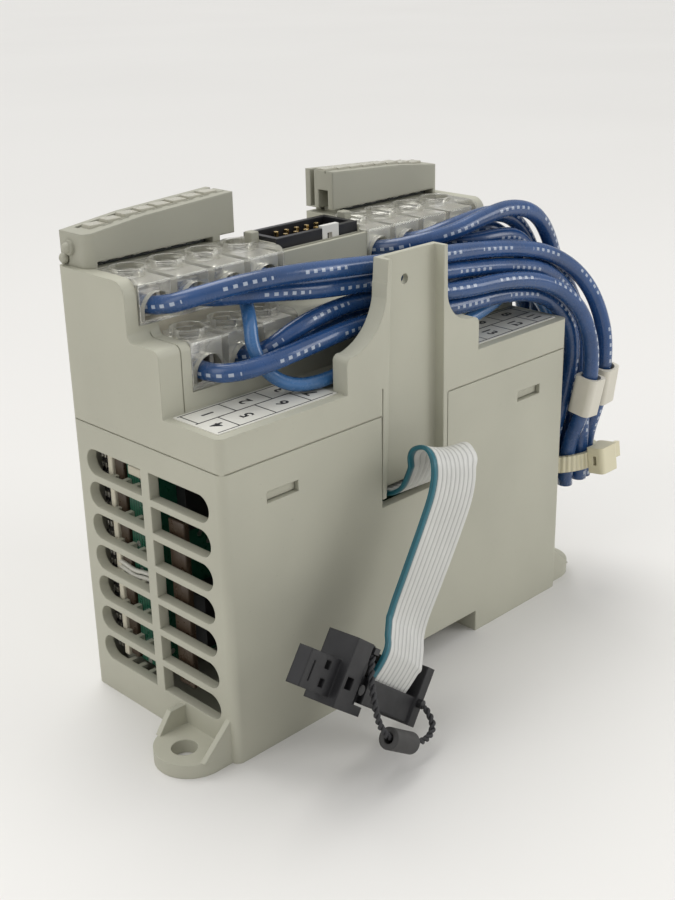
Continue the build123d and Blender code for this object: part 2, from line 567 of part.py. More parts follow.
RIBBON_ROUTE = [(0.0, 1.4, 36.7), (0.1, -8.0, 36.6), (0.0, -17.0, 36.9), (-0.3, -22.2, 38.4),
                (-0.6, -24.7, 42.8), (-1.0, -26.4, 47.0), (-2.6, -31.3, 47.3), (-4.3, -32.9, 42.2),
                (-7.8, -32.6, 34.8), (-12.0, -32.0, 26.2), (-15.8, -32.2, 20.6), (-18.6, -34.4, 18.3),
                (-21.6, -36.6, 16.2), (-24.65, -35.3, 12.35)]
PLUG_CENTRE = (-23.8, -34.2, 13.6)      # middle of the plug
PLUG_TURN = 38.8                        # how far the plug's long axis dips, degrees


def plug_frame():
    """Local axes of the plug: +X along it to the right, +Z up its face, -Y out of its face."""
    return Pos(*PLUG_CENTRE) * Rot(0, PLUG_TURN, 0) * Rot(0, 0, 5) * Rot(-4.9, 0, 0)


SLOT_SHARE = 0.26                       # share of the flat cable that lies level, inside the slot


def ribbon():
    """Flat cable: level at the module, and tilting with the plug at its far end."""
    line, radii, turns = route_line(RIBBON_ROUTE)
    print("bus cable length", round(line.length, 1), "radii", [round(r, 1) for r in radii])
    count = 56
    sections = []
    for i in range(count + 1):
        part_way = i / count
        tangent = line % part_way
        free = max((part_way - SLOT_SHARE) / (1 - SLOT_SHARE), 0.0)
        dip = math.radians(PLUG_TURN * (1 - (1 - free) ** 2))
        across = Vector(math.cos(dip), 0.09 * free, -math.sin(dip))
        across = (across - tangent * across.dot(tangent)).normalized()
        plane = Plane(line @ part_way, x_dir=across, z_dir=tangent)
        sections.append(plane * Rectangle(RIBBON_W, RIBBON_T))
    cable = loft(sections, ruled=True)
    print("bus cable volume ratio", round(cable.volume / (RIBBON_W * RIBBON_T * line.length), 4))
    return cable


def plug_body():
    """Socket with a thick block and a windowed tab at one end and an ear at the other."""
    body = block(-8.2, 8.2, -2.6, 2.6, -5.4, -0.9)
    body += block(-16.2, -8.1, -3.0, 3.0, -7.4, 4.3)
    body -= block(-11.2, -8.0, -3.1, -1.4, -5.8, 4.4)
    body += block(8.0, 10.4, -3.0, 3.0, -5.8, 4.8)
    tab = block(-25.0, -16.0, -1.4, 1.2, -6.2, 0.0)
    for z in (-1.5, -4.5):
        tab -= block(-20.1, -18.7, -2, 2, z - 0.7, z + 0.7)
    tab -= block(-23.4, -23.0, -1.6, -1.0, -4.9, -1.6)
    body = body + tab - block(-15.2, -13.2, -3.5, -1.6, -4.0, -2.0)
    return body - block(-6.8, 6.8, -2.0, 0.4, -1.95, 0)     # entry slot for the flat cable


def plug_back():
    """Strain-relief bar behind the flat cable."""
    return block(-7.9, 7.9, 1.2, 2.6, -0.85, 3.6)


def plug_pull_posts():
    """Anchor and peg in the channel of the plug, and a peg on its ear, for the pull cord."""
    anchor = block(-10.4, -8.8, -3.0, -1.4, 2.88, 4.0)
    left = Pos(-9.6, -2.1, -3.2) * Rot(90, 0, 0) * Cylinder(0.9, 1.4)
    right = Pos(9.2, -3.45, -1.6) * Rot(90, 0, 0) * Cylinder(0.8, 0.9)
    return [anchor, left, right]


PULL_ROUTE = [(-29.24, -37.13, 21.81), (-30.53, -37.86, 20.1), (-31.97, -39.47, 18.08),
              (-32.35, -40.47, 14.91), (-32.23, -41.3, 11.58), (-30.54, -41.73, 8.49),
              (-24.84, -41.39, 4.58), (-21.01, -41.54, 3.23), (-18.38, -40.91, 4.02),
              (-17.65, -39.59, 5.6), (-17.25, -37.82, 6.5)]
PULL_D = 1.1
SLEEVE_END = 6                          # point of the pull route under the sleeve's far end


def pull_sleeve():
    """Shrunk sleeve that closes the pull loop."""
    start, end = Vector(*PULL_ROUTE[SLEEVE_END - 1]), Vector(*PULL_ROUTE[SLEEVE_END])
    base = Plane((start + end) * 0.5, z_dir=(end - start).normalized())
    bore = extrude(base * Circle(PULL_D / 2 + 0.35), amount=4, both=True)
    return extrude(base * Circle(1.9), amount=3.4, both=True) - bore


# ---------------------------------------------------------------- all sub-parts

save("rear_housing", rear_housing())
save("front_cover", front_cover())
save("rail_latch", rail_latch())

save("display_bar_left", display_bar(12.1, 43.8, BAR_NEAR_Y))
save("display_bar_right", mirrored(display_bar(12.9, 43.8, 15.0)))
save("indicators_left", indicator_caps())
save("indicators_right", [mirrored(cap) for cap in indicator_caps()])

save("guard_upper_left", upper_guard())
save("guard_upper_right", mirrored(upper_guard()))
save("guard_lower_left", lower_guard())
save("guard_lower_right", mirrored(lower_guard()))
save("terminal_block_left", terminal_block())
save("terminal_block_right", mirrored(terminal_block()))
cages = [upper_cage(c) for c in UPPER_ROW_X] + [lower_cage(c) for c in LOWER_ROW_X]
save("clamps_left", cages)
save("clamps_right", [mirrored(c) for c in cages])

for side, name in ((-1, "left"), (1, "right")):
    for i, c in enumerate(UPPER_ROW_X):
        save(f"screw_upper_{name}_{i + 1}", terminal_screw(side * c, UPPER_SCREW_Y, 77.42))
    for i, c in enumerate(LOWER_ROW_X):
        save(f"screw_lower_{name}_{i + 1}", terminal_screw(side * c, LOWER_SCREW_Y, 67.42))

save("main_board", main_board())
save("main_board_parts", main_board_parts())
save("relay_board", relay_board())
save("relay_board_parts", relay_board_parts())
save("terminal_board", terminal_board())
save("header_shell", header_shell())
save("header_pins", header_pins())
save("header_key", header_key())
save("label_left", label_strip())
save("label_right", mirrored(label_strip()))

for name, points in WIRE_ROUTES.items():
    save(name, round_cord(name, points, THIN_WIRE_D if name == "wire_upper_3" else WIRE_D))
first, second = WIRE_ROUTES["wire_upper_1"], WIRE_ROUTES["wire_lower_2"]
save("wire_marker_1", wire_marker(first[12], first[13], 4.0))
save("wire_marker_2", wire_marker(second[12], second[13], 4.0))
save("cable_tie_band", cable_tie_band())
save("cable_tie_head", cable_tie_head())

save("bus_cable", ribbon())
save("plug_body", plug_frame() * plug_body())
save("plug_back", plug_frame() * plug_back())
save("plug_posts", [plug_frame() * peg for peg in plug_pull_posts()])
save("pull_cord", round_cord("pull_cord", PULL_ROUTE, PULL_D))
save("pull_sleeve", pull_sleeve())
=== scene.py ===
"""Looks of a programmable controller's input module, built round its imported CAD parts."""

import math

import bmesh
import bpy
from mathutils import Matrix, Vector


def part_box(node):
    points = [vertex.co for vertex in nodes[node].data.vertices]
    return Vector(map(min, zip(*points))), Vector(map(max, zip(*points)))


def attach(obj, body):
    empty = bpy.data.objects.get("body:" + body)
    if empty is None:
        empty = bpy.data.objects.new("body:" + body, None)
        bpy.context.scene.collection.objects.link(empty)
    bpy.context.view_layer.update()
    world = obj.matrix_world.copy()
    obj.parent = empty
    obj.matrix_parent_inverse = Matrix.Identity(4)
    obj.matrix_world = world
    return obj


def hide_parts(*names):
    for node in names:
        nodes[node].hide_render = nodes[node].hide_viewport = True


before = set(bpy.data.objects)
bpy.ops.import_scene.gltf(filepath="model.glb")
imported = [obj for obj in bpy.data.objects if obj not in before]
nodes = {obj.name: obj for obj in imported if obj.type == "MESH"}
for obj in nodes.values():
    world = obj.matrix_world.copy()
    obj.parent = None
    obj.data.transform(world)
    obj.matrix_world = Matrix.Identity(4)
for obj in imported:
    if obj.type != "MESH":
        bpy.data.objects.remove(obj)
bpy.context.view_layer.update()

MM = 0.001                      # places below are in millimetres unless they say otherwise
scene = bpy.context.scene


def place(x, y, z):
    return Vector((x, y, z)) * MM


# -------------------------------------------------- camera

CAMERA_PLACE = (-162.16, -165.47, 131.69)
CAMERA_AZIMUTH, CAMERA_ELEVATION, CAMERA_ROLL = -44.45, 21.81, -1.25        # degrees
CAMERA_LENS, CAMERA_SENSOR = 52.2, 36                                       # mm


def add_camera():
    """Camera beyond the -X, -Y corner, looking down along the diagonal."""
    azimuth, elevation = math.radians(CAMERA_AZIMUTH), math.radians(CAMERA_ELEVATION)
    roll = math.radians(CAMERA_ROLL)
    back = Vector((math.sin(azimuth) * math.cos(elevation),
                   -math.cos(azimuth) * math.cos(elevation), math.sin(elevation)))
    right = Vector((0, 0, 1)).cross(back).normalized()
    up = back.cross(right)
    turned_right = right * math.cos(roll) + up * math.sin(roll)
    turned_up = up * math.cos(roll) - right * math.sin(roll)
    camera = bpy.data.objects.new("camera", bpy.data.cameras.new("camera"))
    camera.data.lens = CAMERA_LENS
    camera.data.sensor_width = CAMERA_SENSOR
    camera.data.clip_start = 0.01
    x, y, z = (distance * MM for distance in CAMERA_PLACE)
    camera.matrix_world = Matrix(((turned_right.x, turned_up.x, back.x, x),
                                  (turned_right.y, turned_up.y, back.y, y),
                                  (turned_right.z, turned_up.z, back.z, z),
                                  (0, 0, 0, 1)))
    scene.collection.objects.link(camera)
    scene.camera = camera


add_camera()


# -------------------------------------------------- node helpers

UV_PER_METRE = 10               # the swept pieces' UV runs from 0 to 1 in 100 mm of line
MM_PER_UV = 100.0


class Nodes:
    """A short way to write a material's node tree."""

    def __init__(self, name):
        self.material = bpy.data.materials.new(name)
        self.material.use_nodes = True
        self.tree = self.material.node_tree
        self.shader = self.tree.nodes["Principled BSDF"]

    def add(self, kind, **values):
        node = self.tree.nodes.new(kind)
        for key, value in values.items():
            setattr(node, key, value)
        return node

    def link(self, source, target):
        self.tree.links.new(source, target)

    def put(self, socket, value):
        """Links an output, or sets a plain value."""
        if isinstance(value, bpy.types.NodeSocket):
            self.link(value, socket)
        else:
            socket.default_value = value

    def place_of(self):
        """Object coordinates in metres."""
        return self.add("ShaderNodeTexCoord").outputs["Object"]

    def place_along(self):
        """The X and Y outputs of a swept piece's UV."""
        split = self.add("ShaderNodeSeparateXYZ")
        self.link(self.add("ShaderNodeUVMap", uv_map="along").outputs["UV"], split.inputs[0])
        return split.outputs["X"], split.outputs["Y"]

    def vector(self, operation, first, second=None, scale=None):
        node = self.add("ShaderNodeVectorMath", operation=operation)
        self.put(node.inputs[0], first)
        if second is not None:
            self.put(node.inputs[1], second)
        if scale is not None:
            self.put(node.inputs["Scale"], scale)
        return node.outputs["Value" if operation == "DOT_PRODUCT" else "Vector"]

    def noise(self, vector, per_mm, detail=2.0, roughness=0.5):
        node = self.add("ShaderNodeTexNoise")
        self.link(vector, node.inputs["Vector"])
        node.inputs["Scale"].default_value = per_mm / MM
        node.inputs["Detail"].default_value = detail
        node.inputs["Roughness"].default_value = roughness
        return node.outputs["Fac"]

    def maths(self, operation, first, second=0.0):
        node = self.add("ShaderNodeMath", operation=operation)
        self.put(node.inputs[0], first)
        self.put(node.inputs[1], second)
        return node.outputs[0]

    def spread(self, value, low, high, to_low=0.0, to_high=1.0):
        """Maps low..high onto to_low..to_high, held at the ends."""
        node = self.add("ShaderNodeMapRange")
        self.put(node.inputs["Value"], value)
        node.inputs["From Min"].default_value = low
        node.inputs["From Max"].default_value = high
        node.inputs["To Min"].default_value = to_low
        node.inputs["To Max"].default_value = to_high
        return node.outputs["Result"]

    def mix(self, amount, first, second):
        """Colour between two colours."""
        node = self.add("ShaderNodeMix", data_type="RGBA")
        self.put(node.inputs["Factor"], amount)
        for socket, colour in zip(node.inputs[6:8], (first, second)):       # the colour inputs
            if isinstance(colour, bpy.types.NodeSocket):
                self.link(colour, socket)
            else:
                socket.default_value = (*colour, 1)
        return node.outputs[2]

    def bump(self, height, distance_mm, strength, normal=None):
        node = self.add("ShaderNodeBump")
        node.inputs["Strength"].default_value = strength
        node.inputs["Distance"].default_value = distance_mm * MM
        self.link(height, node.inputs["Height"])
        if normal is not None:
            self.link(normal, node.inputs["Normal"])
        return node.outputs["Normal"]

    def soft_edges(self, radius_mm):
        """Normal that rounds the edges of a moulding."""
        node = self.add("ShaderNodeBevel", samples=4)
        node.inputs["Radius"].default_value = radius_mm * MM
        return node.outputs["Normal"]

    def edge_mask(self, rounded):
        """1 on the edges that the rounded normal bends round, 0 on flats."""
        flat = self.add("ShaderNodeNewGeometry").outputs["Normal"]
        return self.spread(self.vector("DOT_PRODUCT", rounded, flat), 0.995, 0.8)

    def set(self, **inputs):
        for key, value in inputs.items():
            self.put(self.shader.inputs[key.replace("_", " ")], value)


def shaded(colour, share):
    """A colour made darker or paler by a share, no brighter than white."""
    return [min(1, c * share) for c in colour]


def moulded_plastic(name, colour, grain_mm=0.22, depth_mm=0.02, rough=0.55, edge_mm=0.3):
    """Spark-textured moulding: fine grain, faint clouds, dark specks, and edges painted paler as a
    highlight.
    """
    n = Nodes(name)
    where = n.place_of()
    clouds = n.noise(where, 0.05, 3)
    specks = n.noise(where, 1.1, 4, 0.7)
    shade = n.mix(n.spread(clouds, 0.3, 0.7), shaded(colour, 0.95), shaded(colour, 1.05))
    dusty = n.mix(n.spread(specks, 0.66, 0.76, 0, 0.4), shade, shaded(colour, 0.62))
    rounded = n.soft_edges(edge_mm)
    # painted highlight: the rounded edges are made paler in the colour
    painted_edge_highlight = n.mix(n.maths("MULTIPLY", n.edge_mask(rounded), 0.6), dusty, shaded(colour, 1.3))
    gloss = n.noise(where, 0.4, 3)
    grain = n.noise(where, 1 / grain_mm, 2, 0.6)
    n.set(Base_Color=painted_edge_highlight, Roughness=n.spread(gloss, 0.3, 0.7, rough - 0.06, rough + 0.06),
          Normal=n.bump(grain, depth_mm, 0.35, rounded))
    return n.material


def clear_plastic(name):
    """Clear polycarbonate: see-through faces that mirror at a slant, ripples, and bright edges that
    are a painted highlight.
    """
    n = Nodes(name)
    where = n.place_of()
    rounded = n.soft_edges(0.2)
    rippled = n.bump(n.noise(where, 0.3, 1, 0.4), 0.12, 0.3, rounded)
    rim = n.add("ShaderNodeFresnel")
    rim.inputs["IOR"].default_value = 1.5
    n.link(rippled, rim.inputs["Normal"])
    face = n.spread(rim.outputs[0], 0.04, 0.9, 0.07, 0.9)
    scuffs = n.spread(n.noise(where, 2.6, 4, 0.7), 0.68, 0.76, 0.0, 0.12)
    # painted highlight: the rounded edges are made nearly opaque, so they show as pale lines
    edges = n.maths("MULTIPLY", n.edge_mask(rounded), 0.8)
    n.set(Base_Color=n.mix(n.noise(where, 0.8, 3), (1.0, 0.99, 0.93), (0.95, 0.94, 0.87)),
          Roughness=n.spread(n.noise(where, 1.5, 4, 0.7), 0.35, 0.75, 0.03, 0.12),
          Alpha=n.maths("MAXIMUM", n.maths("ADD", face, scuffs), edges),
          Normal=rippled, Metallic=0.55)
    return n.material


def bright_metal(name, colour, rough=0.3):
    """Plated or bare metal with fine scratches and dull patches."""
    n = Nodes(name)
    where = n.place_of()
    scratches = n.noise(where, 2.5, 4, 0.7)
    patches = n.noise(where, 0.7, 3)
    n.set(Base_Color=n.mix(n.spread(patches, 0.35, 0.7), colour, shaded(colour, 0.72)),
          Roughness=n.spread(scratches, 0.3, 0.7, rough - 0.08, rough + 0.14),
          Normal=n.bump(scratches, 0.01, 0.3, n.soft_edges(0.12)), Metallic=1.0)
    return n.material


def board_mask(name, colour):
    """Green solder mask over a raised net of tracks and round pads."""
    n = Nodes(name)
    where = n.place_of()
    tracks = n.add("ShaderNodeTexBrick")
    n.link(n.vector("SCALE", where, scale=1 / MM), tracks.inputs["Vector"])
    tracks.inputs["Scale"].default_value = 0.35
    tracks.inputs["Mortar Size"].default_value = 0.06
    pads = n.add("ShaderNodeTexVoronoi", feature="F1")
    n.link(where, pads.inputs["Vector"])
    pads.inputs["Scale"].default_value = 0.35 / MM
    tin = n.maths("LESS_THAN", pads.outputs["Distance"], 0.2)
    green = n.mix(tracks.outputs["Fac"], colour, shaded(colour, 1.9))
    n.set(Base_Color=n.mix(tin, green, (0.42, 0.42, 0.40)),
          Roughness=n.spread(n.noise(where, 0.8), 0.3, 0.7, 0.25, 0.4),
          Metallic=n.maths("MULTIPLY", tin, 0.8),
          Normal=n.bump(tracks.outputs["Fac"], 0.05, 0.5))
    return n.material


# -------------------------------------------------- mesh helpers

def add_piece(name, mesh, body, materials, smooth=True):
    """Links a mesh object that rides on a body."""
    piece = bpy.data.objects.new(name, mesh)
    scene.collection.objects.link(piece)
    for material in materials:
        mesh.materials.append(material)
    if smooth:
        mesh.shade_smooth()
    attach(piece, body)
    return piece


def mesh_from(bm, name):
    mesh = bpy.data.meshes.new(name)
    bm.to_mesh(mesh)
    bm.free()
    return mesh


CURVE_STEPS, CURVE_ORDER = 10, 3
FIRST_SIDE = Vector((0.3, 0.2, 1))          # lies along no line's first piece


def smooth_line(points):
    """Points, in metres, along the NURBS curve whose control points are a route's."""
    curve = bpy.data.curves.new("line", "CURVE")
    curve.dimensions = "3D"
    curve.resolution_u = CURVE_STEPS
    spline = curve.splines.new("NURBS")
    spline.points.add(len(points) - 1)
    for control, point in zip(spline.points, points):
        control.co = (*(place(*point)), 1)
    spline.order_u = CURVE_ORDER
    spline.use_endpoint_u = True
    holder = bpy.data.objects.new("line", curve)
    mesh = bpy.data.meshes.new_from_object(holder)
    line = [v.co.copy() for v in mesh.vertices]
    bpy.data.objects.remove(holder)
    bpy.data.curves.remove(curve)
    bpy.data.meshes.remove(mesh)
    return line


def tangents(line):
    ahead = line[1:] + [line[-1]]
    behind = [line[0]] + line[:-1]
    return [(b - a).normalized() for a, b in zip(behind, ahead)]


def lengths_along(line):
    total, lengths = 0.0, [0.0]
    for a, b in zip(line, line[1:]):
        total += (b - a).length
        lengths.append(total)
    return lengths


def untwisted_sides(line):
    """A side direction at each point that turns no more than the line makes it."""
    sides, side = [], FIRST_SIDE
    for along in tangents(line):
        side = (side - along * side.dot(along)).normalized()
        sides.append(side)
    return sides


def sweep(name, line, sides, outline):
    """Closed mesh of an outline, in metres as (side, up) pairs, carried along a line.

    Its UV is the length along the line, in tenths of a metre, and the share of the way round.
    """
    bm = bmesh.new()
    uv = bm.loops.layers.uv.new("along")
    rings = []
    for point, along, side in zip(line, tangents(line), sides):
        up = along.cross(side)
        rings.append([bm.verts.new(point + side * a + up * b) for a, b in outline])
    lengths, count = lengths_along(line), len(outline)
    for i in range(len(rings) - 1):
        for j in range(count):
            k = (j + 1) % count
            face = bm.faces.new((rings[i][j], rings[i][k], rings[i + 1][k], rings[i + 1][j]))
            ends = ((i, j), (i, j + 1), (i + 1, j + 1), (i + 1, j))
            for loop, (a, b) in zip(face.loops, ends):
                loop[uv].uv = (lengths[a] * UV_PER_METRE, b / count)
    bm.faces.new(list(reversed(rings[0])))
    bm.faces.new(rings[-1])
    return mesh_from(bm, name)


def circle_outline(radius, count=20):
    return [(radius * math.cos(2 * math.pi * i / count),
             radius * math.sin(2 * math.pi * i / count)) for i in range(count)]


# -------------------------------------------------- loose wires

WIRE_D = 3.2
THIN_WIRE_D = 2.4               # the pale wire
PALE_WIRE = "wire_upper_3"
BUNDLE_X, BUNDLE_Y = 54.5, -13.0
RING_R, CORE_R = 5.05, 1.9      # the nine outer wires of the tied bundle, and the two inside them
STRAND_R = 0.3
CLAMPED_LENGTH, CLAMPED_MIDDLE = 4.0, 1.9           # bare end in a terminal
CUT_END_LENGTH = 0.5


def ring_point(angle, z, reach=RING_R):
    """A place in the tied bundle, by its angle round the middle."""
    turn = math.radians(angle)
    return (BUNDLE_X + reach * math.cos(turn), BUNDLE_Y + reach * math.sin(turn), z)


def core_point(angle, z):
    return ring_point(angle, z, CORE_R)


WIRE_ROUTES = {
    "wire_upper_1": [
        (-39.2, 4.4, 75.2), (-39.4, -0.6, 75.7), (-36.4, -5.2, 77.4), (-29.4, -8.8, 78.9),
        (-20.6, -10.9, 79.1), (-10.0, -12.2, 78.4), (4.0, -12.8, 77.0), (18.0, -12.6, 76.0),
        (33.0, -13.2, 74.4), (46.8, -13.8, 71.4), (56.8, -16.0, 64.2), (59.4, -19.2, 54.6),
        (58.8, -20.2, 46.2), (59.4, -18.8, 38.0), ring_point(-50, 29.2), ring_point(-50, 20.8)],
    "wire_upper_2": [
        (-30.8, 4.4, 75.2), (-31.0, -0.4, 75.4), (-28.6, -5.4, 76.1), (-22.4, -8.4, 76.0),
        (-14.4, -9.9, 75.0), (-5.0, -11.4, 74.4), (7.0, -12.2, 73.6), (21.0, -12.6, 72.3),
        (34.0, -13.4, 70.8), (45.0, -14.2, 68.2), (53.2, -15.0, 61.6), (56.6, -15.4, 53.4),
        (55.6, -16.1, 45.0), (54.9, -18.0, 37.0), ring_point(-90, 28.8), ring_point(-90, 21.4)],
    "wire_upper_3": [
        (-22.4, 3.6, 75.1), (-22.6, -0.4, 75.1), (-24.6, -4.1, 74.5), (-26.8, -7.6, 71.9),
        (-28.0, -9.2, 67.7), (-26.5, -11.1, 63.3), (-22.9, -13.4, 60.8), (-17.6, -14.8, 60.7),
        (-11.8, -14.1, 60.9), (-4.0, -12.8, 61.1), (6.0, -12.2, 61.4), (18.0, -12.9, 61.6),
        (28.4, -12.4, 62.8), (37.4, -11.2, 64.8), (45.2, -11.2, 63.0), (49.6, -12.0, 57.4),
        (50.6, -12.0, 50.4), (50.8, -12.2, 42.5), (52.8, -12.3, 35.4), core_point(170, 28.2),
        core_point(170, 21.0)],
    "wire_upper_4": [
        (-14.8, 4.4, 75.2), (-14.0, -1.0, 75.4), (-9.8, -5.6, 75.4), (-2.0, -8.0, 75.0),
        (9.0, -8.6, 74.4), (21.0, -8.2, 73.4), (33.0, -8.4, 73.2), (43.4, -9.4, 72.4),
        (52.6, -11.2, 67.6), (58.2, -12.4, 58.8), (60.6, -13.0, 49.6), (60.9, -13.8, 41.2),
        (60.6, -13.6, 34.6), ring_point(-10, 28.2), ring_point(-10, 21.8)],
    "wire_lower_1": [
        (-35.4, -3.4, 64.9), (-35.5, -7.6, 64.9), (-32.8, -11.4, 65.3), (-27.0, -13.3, 66.2),
        (-18.4, -13.7, 67.2), (-7.6, -13.3, 68.0), (5.0, -13.1, 67.2), (18.0, -13.8, 65.9),
        (31.0, -14.6, 66.0), (42.0, -15.2, 64.0), (49.8, -16.2, 58.6), (52.8, -16.4, 50.8),
        (51.8, -16.0, 42.6), (49.6, -15.4, 35.4), ring_point(-170, 28.6), ring_point(-170, 21.8)],
    "wire_lower_2": [
        (-26.2, -3.4, 65.2), (-25.9, -6.8, 65.5), (-23.8, -9.4, 67.0), (-19.6, -10.4, 69.3),
        (-12.6, -10.5, 70.8), (-3.4, -10.4, 71.1), (7.4, -12.2, 70.2), (18.0, -14.8, 69.2),
        (30.0, -16.6, 69.3), (40.6, -17.8, 67.2), (48.4, -19.6, 61.8), (51.8, -21.2, 54.2),
        (51.6, -21.9, 46.0), (51.0, -20.6, 37.6), ring_point(-130, 29.2), ring_point(-130, 20.6)],
    "wire_lower_3": [
        (-18.4, -3.4, 65.2), (-17.6, -7.3, 65.5), (-14.2, -9.7, 66.6), (-7.0, -9.2, 67.6),
        (2.0, -8.4, 68.0), (13.0, -8.9, 67.8), (25.0, -9.4, 68.6), (36.0, -9.2, 69.2),
        (46.0, -9.6, 67.0), (52.4, -11.2, 60.6), (55.0, -12.2, 52.6), (55.8, -12.2, 44.4),
        (56.4, -13.0, 37.0), core_point(10, 28.4), core_point(10, 20.2)],
    "wire_right_1": [
        (13.3, 4.4, 75.2), (14.2, -0.6, 75.6), (18.0, -4.6, 76.8), (25.4, -6.8, 77.6),
        (33.0, -7.6, 79.4), (41.5, -8.0, 80.4), (49.4, -8.2, 78.0), (54.8, -8.0, 71.6),
        (57.8, -8.0, 63.0), (58.8, -8.7, 54.0), (59.1, -9.2, 45.0), (59.5, -10.0, 37.4),
        ring_point(30, 29.0), ring_point(30, 21.2)],
    "wire_right_2": [
        (22.0, 4.2, 75.2), (22.6, -0.4, 75.7), (26.4, -2.8, 77.2), (32.6, -3.6, 78.2),
        (40.4, -3.8, 78.8), (47.6, -4.0, 76.8), (52.6, -4.6, 70.8), (54.9, -5.4, 62.4),
        (55.6, -6.2, 53.6), (55.9, -6.8, 45.0), (56.6, -7.6, 37.2), ring_point(70, 29.2),
        ring_point(70, 21.6)],
    "wire_right_3": [
        (30.2, 3.4, 75.0), (30.6, -1.2, 74.6), (34.2, -4.6, 74.2), (40.0, -5.8, 74.4),
        (46.2, -6.2, 73.6), (50.4, -6.9, 68.6), (51.6, -7.4, 61.2), (51.4, -8.0, 53.4),
        (50.6, -8.2, 45.6), (49.6, -9.3, 37.6), ring_point(150, 29.6), ring_point(150, 21.8)],
    "wire_right_4": [
        (38.4, 3.2, 75.2), (39.0, -0.6, 75.3), (42.6, -2.2, 75.2), (47.2, -2.4, 72.6),
        (50.4, -2.9, 67.4), (51.7, -3.6, 60.0), (52.2, -4.4, 52.4), (52.4, -5.3, 44.8),
        (52.8, -6.8, 37.4), ring_point(110, 29.6), ring_point(110, 21.8)],
}


def wire_insulation(name, colour):
    """Glossy vinyl with faint rub marks, dull smears and groups of plain dashes on one side."""
    n = Nodes(name)
    where = n.place_of()
    length, turn = n.place_along()
    length_mm = n.maths("MULTIPLY", length, MM_PER_UV)
    cell = n.maths("FRACT", n.maths("MULTIPLY", length_mm, 0.62))
    dash = n.maths("MULTIPLY", n.maths("GREATER_THAN", cell, 0.35), n.maths("LESS_THAN", cell, 0.8))
    group = n.maths("LESS_THAN", n.maths("FRACT", n.maths("MULTIPLY", length_mm, 0.068)), 0.6)
    band = n.maths("LESS_THAN", n.maths("ABSOLUTE", n.maths("SUBTRACT", turn, 0.3)), 0.03)
    ink = n.maths("MULTIPLY", n.maths("MULTIPLY", dash, group), n.maths("MULTIPLY", band, 0.62))
    clouds = n.mix(n.spread(n.noise(where, 0.12, 3), 0.3, 0.7),
                   shaded(colour, 0.78), shaded(colour, 1.2))
    rubbed = n.mix(n.spread(n.noise(where, 0.9, 5, 0.75), 0.6, 0.78, 0, 0.35),
                   clouds, shaded(colour, 1.9))
    n.set(Base_Color=n.mix(ink, rubbed, (0.60, 0.66, 0.74)),
          Roughness=n.spread(n.noise(where, 0.5, 4, 0.7), 0.3, 0.75, 0.17, 0.36),
          Normal=n.bump(n.noise(where, 0.45, 3), 0.12, 0.25),
          Coat_Weight=0.35, Coat_Roughness=0.12)
    return n.material


BLUE = wire_insulation("blue_vinyl", (0.017, 0.064, 0.190))
PALE_BLUE = wire_insulation("pale_blue_vinyl", (0.046, 0.148, 0.34))
COPPER = bright_metal("copper", (0.78, 0.42, 0.26), 0.28)


def strands(name, centre, axis, length):
    """Seven copper strands laid together, seen at a bare end."""
    bm = bmesh.new()
    radius = STRAND_R * MM
    turn = Vector((0, 0, 1)).rotation_difference(axis).to_matrix().to_4x4()
    places = [(0, 0)]
    for i in range(6):
        places.append((2 * radius * math.cos(math.pi * i / 3),
                       2 * radius * math.sin(math.pi * i / 3)))
    for x, y in places:
        at = Matrix.Translation(centre) @ turn @ Matrix.Translation((x, y, 0))
        bmesh.ops.create_cone(bm, cap_ends=True, segments=10, radius1=radius, radius2=radius,
                              depth=length, matrix=at)
    return add_piece(name, mesh_from(bm, name), "module", [COPPER])


def add_wire(name, points):
    line = smooth_line(points)
    pale = name == PALE_WIRE
    diameter = (THIN_WIRE_D if pale else WIRE_D) * MM
    mesh = sweep(name, line, untwisted_sides(line), circle_outline(diameter / 2))
    material = PALE_BLUE if pale else BLUE
    wire = add_piece(name + "_jacket", mesh, "module", [material])
    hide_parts(name)
    along = tangents(line)
    near = strands(name + "_clamped_end", line[0] - along[0] * CLAMPED_MIDDLE * MM, along[0],
                   CLAMPED_LENGTH * MM)
    far = strands(name + "_cut_end", line[-1], along[-1], CUT_END_LENGTH * MM)


for wire_name, wire_route in WIRE_ROUTES.items():
    add_wire(wire_name, wire_route)


# -------------------------------------------------- flat bus cable

RIBBON_W, RIBBON_T = 12.7, 0.9
CONDUCTORS, STEPS_PER_CONDUCTOR = 10, 8
WEB_SHARE = 0.36                # share of the thickness that is left in the grooves
RIBBON_ROUTE = [(0.0, 1.4, 36.7), (0.1, -8.0, 36.6), (0.0, -17.0, 36.9), (-0.3, -22.2, 38.4),
                (-0.6, -24.7, 42.8), (-1.0, -26.4, 47.0), (-2.6, -31.3, 47.3),
                (-4.3, -32.9, 42.2), (-7.8, -32.6, 34.8), (-12.0, -32.0, 26.2),
                (-15.8, -32.2, 20.6), (-18.6, -34.4, 18.3), (-21.6, -36.6, 16.2),
                (-24.65, -35.3, 12.35)]
PLUG_TURN = 38.8                # how far the plug's long axis dips, degrees
PLUG_SWING = 0.09               # how far it swings towards +Y, as a slope
SLOT_SHARE = 0.26               # share of the flat cable that lies level, inside the slot


